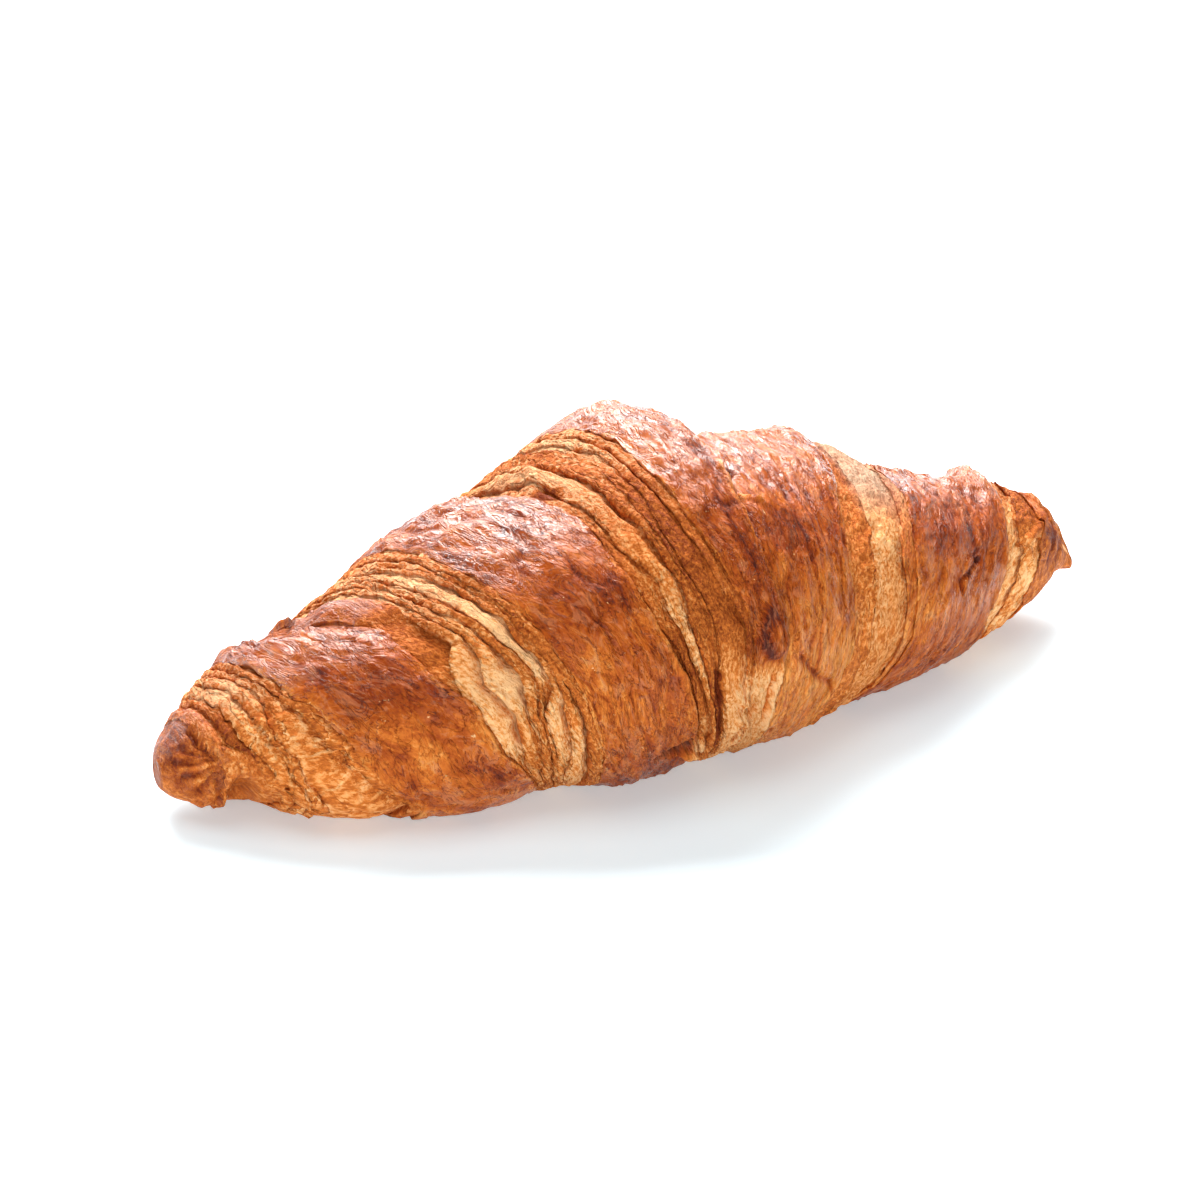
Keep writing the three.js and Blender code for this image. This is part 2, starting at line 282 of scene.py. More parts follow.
            (50, -7.5), (58, -7.2), (62, -6.9), (68, -6), (75, -5.3), (85, -5.5), (95, -6.2)],
        before=[(0, 0), (85, 0.1), (95, -0.8)], past=[(0, 0.8), (85, 0.8), (95, -0.7)],
        middle=[(-180, 1.7), (80, 1.6), (90, 0.6), (97, -0.7), (130, -0.4)],
        glaze=[(-150, 1), (0, 1), (86, 1), (92, 0)],
        brown=[(-150, 0.55), (-90, 0.6), (-10, 0.55), (20, 0.62), (60, 0.62), (86, 0.6), (93, 0.12),
               (112, 0.15)],
    ),
    # The fourth glazed turn.
    dict(
        at=[(-25, 9.5), (-10, 8.3), (0, 7.3), (10, 6.8), (16, 5.9), (22, 5.1), (28, 4.5), (34, 3.7),
            (40, 3), (46, 2.5), (52, 2.3), (58, 2.5), (64, 3), (70, 4.4), (76, 5.7), (84, 6), (89, 5),
            (96, 4)],
        before=[(-90, 0.8), (-25, 0.2), (0, 0.9), (30, 1.2), (60, 1), (85, 0.9), (93, -0.3)],
        past=[(-90, -1), (-25, -2.6), (5, -1.8), (15, -1.6), (22, -1.8), (28, -1), (40, -0.2), (60, 0.1),
              (75, -0.2), (92, -0.3)],
        middle=[(-90, 0.5), (-25, 0.3), (10, 0.9), (90, 0.7), (110, 0.3)],
        glaze=[(80, 1), (92, 0.85), (115, 0.75)],
        brown=[(-150, 0.5), (-90, 0.55), (-10, 0.45), (20, 0.5), (45, 0.6), (60, 0.36), (85, 0.32),
               (92, 0.16), (115, 0.25)],
    ),
    # A toasted strip, a wide sandy one and a thin lip.
    dict(
        at=[(-25, 34), (-10, 34.2), (0, 33.8), (8, 33.1), (14, 32.2), (20, 31.7), (28, 30.3), (40, 29.9),
            (52, 29.6), (60, 29.8), (68, 30.4), (75, 31.7), (80, 32.8), (86, 33), (92, 32.5), (100, 31)],
        before=[(-90, 0.8), (-45, 3.2), (-25, 2.8), (10, 1.1), (60, 0.5), (90, 0.4)],
        past=[(-90, -0.2), (-45, 1.8), (-25, 1.5), (0, -0.1), (60, -0.1), (90, 0)],
        middle=[(-90, -0.2), (-45, 1.9), (-25, 1.6), (20, -0.1), (60, -0.1)],
        glaze=[(60, 0.05), (110, 0.1)], brown=[(0, 0.55), (20, 0.52), (90, 0.48)],
    ),
    dict(
        at=[(-25, 37.4), (-5, 37), (2, 36.6), (10, 35.9), (16, 36), (25, 36), (35, 36.1), (45, 36.3),
            (52, 35.9), (60, 35.8), (68, 36), (75, 36.4), (85, 36.5), (95, 36.4), (105, 36.3)],
        before=[(-90, 0.3), (-45, 1.5), (-25, 1.3), (10, 0.3)],
        past=[(-90, -0.3), (-45, 0.8), (-25, 0.6), (10, -0.3)],
        middle=[(-90, -0.2), (-45, 0.9), (-25, 0.8), (20, -0.2)], glaze=0,
        brown=[(-150, 0.5), (-90, 0.45), (-10, 0.2), (40, 0.2), (50, 0.16), (62, 0.26), (95, 0.34)],
    ),
    dict(
        at=[(-25, 46.8), (0, 46.6), (15, 46.4), (30, 45.9), (45, 45.4), (55, 45.2), (60, 45.3), (66, 46),
            (72, 46.8), (80, 48), (88, 49.3), (95, 49.8), (105, 50), (115, 50.3)],
        before=-0.8, past=[(-90, -0.4), (-25, -1.2), (20, -0.4), (60, -0.3)],
        middle=[(-90, -0.3), (-25, -1.2), (20, -0.2), (60, -0.1)],
        glaze=[(0, 0.3), (40, 0.4), (80, 0.7)], brown=[(0, 0.25), (25, 0.45), (60, 0.5), (90, 0.4)],
    ),
    # The fifth glazed turn.
    dict(
        at=[(-25, 49), (20, 48.4), (50, 47.8), (65, 48.6), (80, 50), (95, 51.5)],
        before=[(-90, -0.2), (-25, -1), (20, -0.2), (60, -0.2)],
        past=[(-90, 0.1), (-25, -0.8), (20, 0.2), (60, 0.2)],
        middle=[(-90, 0.8), (-25, 0.4), (20, 1), (60, 1.1)], glaze=1,
        brown=[(-10, 0.5), (30, 0.66), (50, 0.66), (62, 0.44), (85, 0.36), (100, 0.5), (118, 0.6)],
    ),
    # The cut layers beside the right tip, and the tip.
    dict(
        at=[(-25, 71.5), (0, 71.3), (10, 71.4), (20, 71.8), (40, 72), (50, 72.3), (60, 73), (70, 73.3),
            (80, 73.4), (90, 73), (100, 72.8), (110, 73)],
        before=[(-90, 0.7), (-25, 1.9), (20, 0.9), (60, 0.7)],
        past=[(-90, -0.2), (-25, 0.7), (20, -0.1), (60, -0.2)], middle=-0.2, glaze=0.1,
        brown=[(10, 0.5), (30, 0.35), (60, 0.2), (100, 0.2)],
    ),
    dict(
        at=[(-25, 75), (20, 74.8), (30, 75), (40, 74.8), (55, 75), (62, 75.4), (70, 75.9), (85, 75.6),
            (100, 75.2)],
        before=-0.6, past=-0.1, middle=-0.1, glaze=0,
        brown=[(0, 0.7), (40, 0.72), (60, 0.4), (100, 0.22)],
    ),
    dict(
        at=[(-25, 79), (20, 79), (50, 79.2), (60, 79), (70, 78.5), (85, 77.9), (100, 77.5)],
        before=-0.3, past=0.1, middle=0.2, glaze=0.4, brown=[(0, 0.45), (60, 0.65), (100, 0.55)],
    ),
]

# The skin of the left tip itself, up to the first rim.
TIP_SKIN = dict(middle=0.3, glaze=0.5, brown=[(0, 0.66), (30, 0.62), (60, 0.52), (90, 0.55)])

# Places where the skin is its own self: blisters, burnt spots and pockets. Each is an oval at a place
# and an angle, so many millimetres long each way along the roll and so many degrees round it, leaning
# so many millimetres a degree, with what it adds to the height, the browning and the glaze: nothing
# where it says nothing. Its edge is the outer share of it over which it fades.
SPOTS = [
    # The burnt knob: its dark ring, then its paler middle.
    dict(at=(-0.2, 80.5), long=4.4, wide=9.5, lean=0.05, lift=1, brown=0.5, glaze=0.5, edge=0.25),
    dict(at=(0.9, 81), long=3.1, wide=7.5, lean=0.05, lift=0.9, brown=-0.52, glaze=0.3, edge=0.7),
    # Scorched patches on the middle turns, and small pits browned dark as the shade in them.
    dict(at=(13, 45), long=8, wide=13, lean=-0.1, lift=-0.3, brown=0.27),
    dict(at=(10, 64), long=3, wide=9, brown=0.2),
    dict(at=(-0.5, 45), long=3.2, wide=22, lean=-0.08, brown=0.14),
    dict(at=(7.6, 17), long=1.8, wide=5, lean=-0.25, lift=-1.6, brown=0.7),
    # Bumps and a dent along the foot of the middle turn.
    dict(at=(-5, 106), long=3, wide=4, lift=-0.9, brown=0.15),
    dict(at=(-9, 98), long=2.2, wide=4, lift=0.9, brown=-0.1),
    dict(at=(-3, 97), long=2.4, wide=3.5, lift=0.8, brown=-0.1),
    dict(at=(-8, 112), long=3, wide=4, lift=0.9),
    # A scorched pit on the crest, and the browner crest of the sandy strip.
    dict(at=(-19.5, -2), long=1.8, wide=5, lean=0.1, lift=-0.3, brown=0.6, glaze=0.2),
    dict(at=(42, -14), long=9, wide=60, brown=0.4),
    # A torn hollow at the foot before the middle, browned dark as the shade in it, and the flake beside it.
    dict(at=(-26, 116), long=5.5, wide=3.5, lean=-0.3, lift=-1.8, brown=0.6, glaze=0.2, edge=0.4),
    dict(at=(-21, 121), long=4.5, wide=3.5, lift=1.6, brown=-0.5, glaze=-0.5),
    # The left tip: its browner end, a bump, the notch under it and the swell past that.
    dict(at=(-84.5, 5), long=3, wide=26, lift=0.5, brown=0.15),
    dict(at=(-72, 112), long=3, wide=12, lift=1),
    dict(at=(-78.8, 122), long=2.4, wide=40, lift=-3.2, brown=0.1),
    dict(at=(-82.3, 132), long=3, wide=30, lift=1.2),
    # Dips in the outline behind the left shoulder and the middle.
    dict(at=(-59.5, -34), long=8, wide=34, lift=-2),
    dict(at=(-20, -38), long=5.5, wide=34, lift=-2.2),
    # Browner and paler patches on the front of the left turns.
    dict(at=(-62, 50), long=6, wide=22, lean=0.1, brown=0.2),
    dict(at=(-65, 80), long=2.6, wide=14, lean=0.1, brown=-0.12),
    dict(at=(-37, 72), long=2.4, wide=16, brown=-0.05),
    dict(at=(-30, 45), long=8, wide=18, brown=0.12),
    # The right tip: a pale flake, a brown side, the dip before it and its blunt top.
    dict(at=(86, 68), long=1.6, wide=10, lift=0.3, brown=-0.5, glaze=-0.6),
    dict(at=(81.5, 57), long=2, wide=14, brown=0.3),
    dict(at=(64, -35), long=6, wide=36, lift=-2),
    dict(at=(85, -20), long=4, wide=50, lift=3),
    # Browner and paler places here and there, and the blunt end of the right tip.
    dict(at=(-86, 55), long=3, wide=60, brown=0.2),
    dict(at=(54, 44), long=5, wide=12, brown=0.1),
    dict(at=(86.8, 0), long=1.6, wide=60, lift=1.6),
    dict(at=(13, 60), long=6, wide=12, lift=-0.2, brown=0.1),
    dict(at=(-9.2, -14), long=3, wide=36, brown=-0.16),
    dict(at=(-17.2, -22), long=3, wide=30, brown=-0.16),
    dict(at=(-63, 106), long=9, wide=18, brown=0.14),
    dict(at=(-44.2, 48), long=1.8, wide=26, brown=-0.14),
    dict(at=(-49, 67), long=2, wide=12, brown=-0.12),
]

# Cracks, creases and thin walls of the skin, as lines through points (angle, place) with their half
# width in millimetres, their height and their browning. Where a seam sinks, its browning is painted
# shade in the groove.
SEAMS = [
    # Cracks in the skin of the fourth and fifth turns, painted darker as the shade in them.
    dict(through=[(22, 20), (40, 20.3), (60, 20)], half=0.45, lift=-0.5, brown=0.3),
    dict(through=[(28, 22.6), (40, 22.3), (50, 22.8)], half=0.4, lift=-0.4, brown=0.3),
    dict(through=[(26, 28.4), (38, 28.8), (52, 29.3)], half=0.45, lift=-0.5, brown=0.25),
    dict(through=[(30, 17.5), (52, 17), (74, 18.5)], half=0.4, lift=-0.35, brown=0.2),
    dict(through=[(89, 11), (97, 20), (101, 27), (107, 31)], half=0.5, lift=-0.8, brown=0.5),
    dict(through=[(78, 61), (73, 60.4), (70, 62.2), (63, 65)], half=0.45, lift=-0.8, brown=0.5),
    dict(through=[(63, 65), (60, 63.5), (56, 64.5)], half=0.4, lift=-0.5, brown=0.4),
    # A pale wall across the wide strip.
    dict(through=[(46, 36.6), (50, 40), (60, 45)], half=0.5, lift=0.5, brown=-0.15),
    # The foot of the middle, painted dark as the shade in it, a flake and a fold there.
    dict(through=[(88, -14.5), (100, -13.8), (112, -14)], half=0.8, lift=-1, brown=0.8),
    dict(through=[(18, 4.8), (28, 4.6), (32, 10)], half=0.5, lift=0.9, brown=-0.5),
    dict(through=[(95, -12), (104, -6), (100, -1)], half=0.5, lift=0.5, brown=0.1),
    # The edge between the middle turn and the next: its foot painted dark as shade, and its pale lip.
    dict(
        through=[(-40, 11), (-25, 10.4), (-10, 9.2), (0, 8.2), (10, 7.7), (22, 6), (34, 4.6), (46, 3.4)],
        half=0.8, lift=-0.9, brown=0.5,
    ),
    dict(
        through=[(-40, 9.2), (-25, 8.9), (-10, 7.7), (0, 6.7), (10, 6.2), (22, 4.5), (34, 3.1), (46, 1.9)],
        half=0.45, lift=0.5, brown=-0.3,
    ),
    # The whorl of folds on the left tip: six furrows painted darker as shade, then the four pale ridges
    # between.
    dict(through=[(60, -81.6), (35, -82.6), (12, -83)], half=0.5, lift=-0.8, brown=0.35),
    dict(through=[(58, -82), (40, -83.8), (18, -84.6)], half=0.5, lift=-0.7, brown=0.3),
    dict(through=[(62, -82), (55, -84.5), (40, -86.2)], half=0.5, lift=-0.7, brown=0.3),
    dict(through=[(68, -82), (75, -84), (78, -86)], half=0.5, lift=-0.8, brown=0.35),
    dict(through=[(74, -81.8), (92, -83.2), (104, -84.5)], half=0.5, lift=-0.8, brown=0.35),
    dict(through=[(80, -81.5), (105, -81.8), (125, -82.5)], half=0.5, lift=-0.7, brown=0.3),
    dict(through=[(60, -81.8), (38, -83.2), (15, -83.8)], half=0.45, lift=0.4, brown=-0.3),
    dict(through=[(64, -82), (48, -84.4), (30, -85.6)], half=0.45, lift=0.4, brown=-0.25),
    dict(through=[(65, -82), (66, -84), (62, -86)], half=0.45, lift=0.4, brown=-0.3),
    dict(through=[(72, -82), (84, -83.8), (90, -85.4)], half=0.45, lift=0.4, brown=-0.25),
    # The layers of the right tip: a raised one, and grooves painted darker as shade.
    dict(
        through=[(-26, 80.6), (-5, 82.4), (20, 81.6), (40, 80.2), (60, 76.6)],
        half=0.5, lift=0.9, brown=0.15,
    ),
    dict(through=[(-20, 82.4), (-2, 83.6), (18, 82.8), (35, 81.6)], half=0.4, lift=-0.9, brown=0.4),
    dict(through=[(30, 83.2), (60, 81.4), (90, 80.2)], half=0.4, lift=-0.6, brown=0.4),
    dict(through=[(40, 85.4), (70, 84), (95, 82.6)], half=0.35, lift=-0.5, brown=0.3),
    # A pale fold and its shadow under the knob.
    dict(through=[(90, 3.6), (97, 3), (106, 2), (116, 2.4)], half=0.7, lift=1.1, brown=-0.2),
    dict(through=[(92, 1.6), (100, 1), (110, 0.4)], half=0.6, lift=-0.9, brown=0.35),
]

COLUMNS_PER_MM = 2.38  # on the skin between two rims
ROWS = 172


def through(xs, ys, x):
    """A smooth curve through the points (xs, ys): a cubic in each gap, with the slope at each point
    taken from its two neighbours."""
    slope = np.empty(len(xs))
    slope[1:-1] = (ys[2:] - ys[:-2]) / (xs[2:] - xs[:-2])
    slope[0] = (ys[1] - ys[0]) / (xs[1] - xs[0])
    slope[-1] = (ys[-1] - ys[-2]) / (xs[-1] - xs[-2])
    i = np.clip(np.searchsorted(xs, x, side="right") - 1, 0, len(xs) - 2)
    gap = xs[i + 1] - xs[i]
    t = np.clip((x - xs[i]) / gap, 0, 1)
    start = (1 + 2 * t) * (1 - t) ** 2 * ys[i] + t * (1 - t) ** 2 * gap * slope[i]
    end = t * t * (3 - 2 * t) * ys[i + 1] + t * t * (t - 1) * gap * slope[i + 1]
    return start + end


def smooth(t):
    """0 below 0, 1 above 1, and a smooth S between."""
    t = np.clip(t, 0, 1)
    return t * t * (3 - 2 * t)


def round_the_roll(value, angle):
    """A plain number, or points (angle, number) joined by straight lines and closed round the roll,
    then softened over about two degrees."""
    if np.isscalar(value):
        return np.full_like(angle, value)
    points = np.array(value, float)
    fine = np.arange(-180.0, 180.0, 0.5)
    levels = np.interp(fine, points[:, 0], points[:, 1], period=360)
    kernel = np.exp(-0.5 * (np.arange(-8, 9) / 3.0) ** 2)
    ring = np.concatenate([levels[-8:], levels, levels[:8]])
    levels = np.convolve(ring, kernel / kernel.sum(), "valid")
    return np.interp(angle, fine, levels, period=360)


def random_at(cell, seed):
    """One random number from -1 to 1 for each whole-number cell, by scrambling its bits."""
    h = cell[..., 0] * 73856093 ^ cell[..., 1] * 19349663 ^ cell[..., 2] * 83492791 ^ seed * 2654435
    h = (h ^ (h >> 13)) * 1274126177 & 0x7FFFFFFF
    h = (h ^ (h >> 15)) * 668265263 & 0x7FFFFFFF
    return (h & 0xFFFFF) / 0x7FFFF - 1.0


def noise(where, seed):
    """Smooth random values from -1 to 1: random numbers on the corners of unit cubes, blended inside
    each cube with a fifth-power S curve."""
    cell = np.floor(where).astype(np.int64)
    t = where - cell
    t = t * t * t * (t * (t * 6 - 15) + 10)
    level = np.zeros(where.shape[:-1])
    for corner in itertools.product((0, 1), repeat=3):
        weight = np.prod(np.where(corner, t, 1 - t), axis=-1)
        level += weight * random_at(cell + np.array(corner), seed)
    return level


def layered(where, seed, octaves=3):
    """Noise with finer noise on it, each layer twice as fine and half as strong."""
    level = np.zeros(where.shape[:-1])
    for i in range(octaves):
        level += noise(where * 2.0**i, seed + i) / 2.0**i
    return level / (2 - 0.5 ** (octaves - 1))


def ridges(where, seed, sharpness):
    """1 along the lines where noise changes sign, falling off on both sides: 1 minus the noise's size,
    raised to a power."""
    return (1 - np.abs(layered(where, seed, 2))) ** sharpness


def cells(where, seed):
    """Distances to the nearest of one random centre in each unit cube, and to the second nearest. Their
    difference is 0 on the walls between the cells, and grows towards the centres."""
    home = np.floor(where).astype(np.int64)
    nearest = np.full(where.shape[:-1], 9.0)
    second = nearest.copy()
    for step in itertools.product((-1, 0, 1), repeat=3):
        cell = home + np.array(step)
        centre = np.stack([random_at(cell, seed + axis) for axis in range(3)], axis=-1) * 0.42 + 0.5
        away = np.linalg.norm(cell + centre - where, axis=-1)
        second = np.minimum(second, np.maximum(nearest, away))
        nearest = np.minimum(nearest, away)
    return nearest, second


def turn_lines(angle):
    """Where each turn's edge lies along the roll at each angle: a smooth curve round the roll through
    its three places. The tips stand in for edges past the ends."""
    round_points = np.array([-180, -150, -90, 0, 90, 150, 180], float)
    lines = [np.full_like(angle, -LENGTH / 2)]
    for crest, front, back in TURNS:
        low_front = crest + (front - crest) * CARRIES_ON
        low_back = crest + (back - crest) * CARRIES_ON
        below = (front + back) / 2
        places = np.array([below, low_back, back, crest, front, low_front, below])
        lines.append(through(round_points, places, angle))
    lines.append(np.full_like(angle, LENGTH / 2))
    return np.stack(lines)


def along_roll(crest_place, lines):
    """Carries places on the crest round the roll: a place between two turns' edges on the crest stays
    the same share of the way between them at each angle."""
    marks = np.concatenate([[-LENGTH / 2], TURNS[:, 0], [LENGTH / 2]])
    i = np.clip(np.searchsorted(marks, crest_place, side="right") - 1, 0, len(marks) - 2)
    t = (crest_place - marks[i]) / (marks[i + 1] - marks[i])
    row = np.arange(crest_place.shape[0])[:, None]
    low = lines[i, row]
    high = lines[i + 1, row]
    return low + (high - low) * t


def body(x, angle, lift):
    """The smooth body, lifted outwards: at each place along the roll an oval section, the sine and
    cosine of the angle raised to 2 over the squareness, between the crest and the underside."""
    at = STATIONS[:, 0] * LENGTH / 2
    crest = through(at, STATIONS[:, 1] * HEIGHT, x)
    under = through(at, STATIONS[:, 2] * HEIGHT, x)
    half = through(at, STATIONS[:, 3] * WIDTH / 2, x)
    sweep = through(at, STATIONS[:, 4] * WIDTH / 2, x)
    turn = np.radians(angle)
    side = np.sign(np.sin(turn)) * np.abs(np.sin(turn)) ** (2 / SQUARENESS)
    rise = np.sign(np.cos(turn)) * np.abs(np.cos(turn)) ** (2 / SQUARENESS)
    y = sweep - (half + lift) * side + FOOTPRINT_SHIFT
    z = (crest + under) / 2 + ((crest - under) / 2 + lift) * rise
    return np.stack([x, y, z], axis=-1)


# Rows round the roll are fewest underneath, closer all over the rest, and closest from just behind the
# crest down to the foot of the front.
ROWS_BELOW, MORE_ABOVE_THE_TRAY, MORE_IN_FRONT = 0.35, 0.25, 0.75
dial = np.linspace(-180, 180, 1441)
closeness = ROWS_BELOW + MORE_ABOVE_THE_TRAY * smooth((150 - np.abs(dial)) / 20)
closeness += MORE_IN_FRONT * smooth((dial + 55) / 25) * smooth((135 - dial) / 20)
passed = np.concatenate([[0], np.cumsum((closeness[1:] + closeness[:-1]) / 2)])
row_angle = np.interp(np.arange(ROWS) / ROWS, passed / passed[-1], dial)

# The rims wander a little, and each keeps clear of the one before it.
WANDER_RADIUS = 28  # millimetres, about the roll's own
WANDERS = [(0.45, 6.0, 100), (0.3, 2.2, 200)]  # each: how far, how long a wave, and its seed
RIM_CLEARANCE = 0.55  # millimetres
DIP_DEEPER = 1.35  # dips before a rim, as a share of what the rim says
wander_at = np.stack(
    [
        np.zeros(ROWS),
        WANDER_RADIUS * np.sin(np.radians(row_angle)),
        WANDER_RADIUS * np.cos(np.radians(row_angle)),
    ],
    axis=-1,
)
rim_place = np.stack([round_the_roll(rim["at"], row_angle) for rim in RIMS])
for i in range(len(RIMS)):
    for far, wave, seed in WANDERS:
        rim_place[i] += far * layered(wander_at / wave, seed + i)
clearance = RIM_CLEARANCE * np.arange(len(RIMS))[:, None]
rim_place = np.maximum.accumulate(rim_place - clearance, axis=0) + clearance
rim_before = np.stack([round_the_roll(rim["before"], row_angle) for rim in RIMS])
rim_past = np.stack([round_the_roll(rim["past"], row_angle) for rim in RIMS])
rim_before = np.where(rim_before < 0, DIP_DEEPER * rim_before, rim_before)
drop = rim_past - rim_before
for i in range(len(RIMS)):
    uneven = np.clip(1.1 + 0.9 * layered(wander_at / 4.0, 300 + i), 0.15, 2)
    rim_before[i] = rim_past[i] - drop[i] * np.where(drop[i] > 0, uneven, 1)
drop = rim_past - rim_before

# Columns along the roll. Across a rim the skin climbs from the layer below to the layer above, and
# the lip of the upper layer stands out over the lower one. Between two rims the columns are even.
LIP_RISE = np.array([0.0, 0.28, 0.62, 0.9, 1.0])
LIP_REACH = np.array([0.12, 0.02, -0.24, -0.32, -0.04])
AFTER_RIM, BEFORE_RIM = 0.2, 0.25  # millimetres left free for the lip
DEEPEST = 1.6  # millimetres of step that darken a hollow, at most
HOLLOW_FADES, RIM_FADES, PLIES_FADE = 0.7, 0.35, 2.2  # millimetres
EXTRA_TIP_COLUMNS = 4
lip_columns = len(LIP_RISE)
columns_made = []  # each: place, height, glaze, brown, rim, hollow, narrow, plied
skins = [TIP_SKIN] + RIMS
for i, skin in enumerate(skins):
    middle = round_the_roll(skin["middle"], row_angle)
    glazed = round_the_roll(skin["glaze"], row_angle)
    browned = round_the_roll(skin["brown"], row_angle)
    first = i == 0
    last = i == len(RIMS)
    start_place = np.full(ROWS, -LENGTH / 2) if first else rim_place[i - 1]
    end_place = np.full(ROWS, LENGTH / 2) if last else rim_place[i]
    start_height = np.zeros(ROWS) if first else rim_past[i - 1]
    end_height = np.zeros(ROWS) if last else rim_before[i]
    width = np.median(end_place - start_place)
    count = max(3, int(round(width * COLUMNS_PER_MM)))
    if first or last:
        count += EXTRA_TIP_COLUMNS
    t = (np.arange(count) + 0.5) / count
    if first:
        t = 1 - np.cos(t * math.pi / 2)
    if last:
        t = np.sin(t * math.pi / 2)
    start_step = 0 if first else AFTER_RIM
    end_step = 0 if last else BEFORE_RIM
    over_before = np.zeros(ROWS) if last else np.clip(drop[i], 0, DEEPEST)
    over_after = np.zeros(ROWS) if first else np.clip(-drop[i - 1], 0, DEEPEST)
    narrow_here = 1 - smooth((end_place - start_place - 2.5) / 3.0)
    for share in t:
        here = (start_place + start_step) * (1 - share) + (end_place - end_step) * share
        bulge = middle - (start_height + end_height) / 2
        fall = share**1.5
        height = start_height * (1 - fall) + end_height * fall + bulge * 4 * share * (1 - share)
        to_start = here - start_place
        to_end = end_place - here
        # The painted shade of a hollow: strongest at the foot of a step, fading away from it.
        hollow_shade = np.exp(-to_end / HOLLOW_FADES) * over_before
        hollow_shade = hollow_shade + np.exp(-to_start / HOLLOW_FADES) * over_after
        edge = np.zeros(ROWS) if first else np.exp(-to_start / RIM_FADES) * (drop[i - 1] > 0)
        edge = edge + (0 if last else np.exp(-to_end / RIM_FADES) * (drop[i] < 0))
        plies = np.exp(-np.maximum(np.minimum(to_start, to_end), 0) / PLIES_FADE)
        columns_made.append((here, height, glazed, browned, edge, hollow_shade, narrow_here, plies))
    if last:
        break
    scale = np.clip(np.abs(drop[i]), 0.25, 1.8)
    climbs = drop[i] > 0
    next_glazed = round_the_roll(skins[i + 1]["glaze"], row_angle)
    next_browned = round_the_roll(skins[i + 1]["brown"], row_angle)
    for k in range(lip_columns):
        mirrored = lip_columns - 1 - k
        here = end_place + np.where(climbs, LIP_REACH[k], -LIP_REACH[mirrored]) * scale
        height = rim_before[i] + drop[i] * np.where(climbs, LIP_RISE[k], 1 - LIP_RISE[mirrored])
        upper = np.where(climbs, k >= 1, k >= lip_columns - 1)
        glazed_lip = np.where(upper, next_glazed, glazed)
        browned_lip = np.where(upper, next_browned, browned)
        on_lip = np.where(climbs, LIP_RISE[k], LIP_RISE[mirrored])
        edge = smooth((on_lip - 0.2) / 0.5)
        hollow_shade = (1 - on_lip) * np.clip(np.abs(drop[i]), 0, DEEPEST)
        all_over = np.ones(ROWS)
        columns_made.append((here, height, glazed_lip, browned_lip, edge, hollow_shade, all_over, all_over))

place, lift, glaze, brown, rim, hollow, narrow, plied = (
    np.stack(kind, axis=1) for kind in zip(*columns_made)
)
angle = np.repeat(row_angle[:, None], place.shape[1], axis=1)

# Where a point is on the roll, in millimetres, without the lean of the turns: patterns that read it
# run along the layers, and close round the roll.
turn = np.radians(angle)
girth = (STATIONS[:, 1] - STATIONS[:, 2]) * HEIGHT / 4 + STATIONS[:, 3] * WIDTH / 4
radius = np.maximum(through(STATIONS[:, 0] * LENGTH / 2, girth, place), 3)
roll = np.stack([place, radius * np.sin(turn), radius * np.cos(turn)], axis=-1)

# The glazed skin is crumpled like a foil on the crest, and drawn into low folds along the dough
# lower down; the whole roll is a little lumpy. Between the rims the cut dough is a web of thin walls
# round long hollow cells, and its grain is sandy.
drift = np.stack([layered(roll / 5.0, seed) for seed in (10, 20, 30)], axis=-1)
shiver = np.stack([layered(roll / 1.6, seed, 2) for seed in (11, 21, 31)], axis=-1)


def stretched(across, along):
    """The roll's coordinates, shrunk so that one unit is this many millimetres, and bent by noise."""
    return (roll + 1.7 * drift + 0.35 * shiver) / np.array([across, along, along])


on_crest = smooth((52 - np.abs(angle + 6)) / 38)
lumps = layered(roll / 14.0, 40, 2)
foil_near, foil_next = cells(stretched(3.0, 5.0), 70)
foil = np.clip((foil_next - foil_near) * 1.6, 0, 1)
foil_ridges = ridges(stretched(4.0, 5.0), 80, 5.0)
folds = ridges(stretched(2.4, 12.0), 90, 5.0)
creases = ridges(stretched(3.4, 11.0), 95, 14.0)
web_near, web_next = cells(stretched(1.5, 8.5), 75)
web = np.exp(-((web_next - web_near) / 0.3) ** 2) * narrow
stripes = ridges(stretched(0.8, 14.0), 50, 2.0)
grain = layered(roll / 0.9, 60, 2)
blisters = smooth((layered(roll / 2.3, 65, 2) - 0.35) / 0.3)
dents = layered(roll / 6.0, 45, 2)

SOFT_EDGE = 0.55  # the edge of a spot that doesn't give its own
ragged_edge = 1 + 0.3 * drift[..., 0] + 0.15 * shiver[..., 0]
for spot in SPOTS:
    raised = spot.get("lift", 0)
    away_round = (angle - spot["at"][1] + 180) % 360 - 180
    away_along = place - spot["at"][0] - spot.get("lean", 0) * away_round
    apart = np.hypot(away_along / spot["long"], away_round / spot["wide"]) * ragged_edge
    weight = smooth((1 - apart) / spot.get("edge", SOFT_EDGE))
    lift += raised * weight
    brown += spot.get("brown", 0) * weight
    glaze = np.clip(glaze + spot.get("glaze", 0) * weight, 0, 1)
    # A sunken spot is also painted darker in its hollow, as the shade in it.
    hollow += max(-raised, 0) * weight * 0.5
wavering = np.stack([place, turn * radius], axis=-1) + 0.5 * drift[..., :2] + 0.15 * shiver[..., :2]
for seam in SEAMS:
    bends = np.array([(where, math.radians(turned)) for turned, where in seam["through"]], float)
    bends[:, 1] *= through(STATIONS[:, 0] * LENGTH / 2, girth, bends[:, 0])
    apart = np.full(place.shape, np.inf)
    for start, end in zip(bends[:-1], bends[1:]):
        run = end - start
        share = np.clip(((wavering - start) @ run) / (run @ run), 0, 1)
        apart = np.minimum(apart, np.linalg.norm(wavering - start - share[..., None] * run, axis=-1))
    weight = np.exp(-((apart / seam["half"]) ** 2))
    lift += seam["lift"] * weight
    brown += seam["brown"] * weight

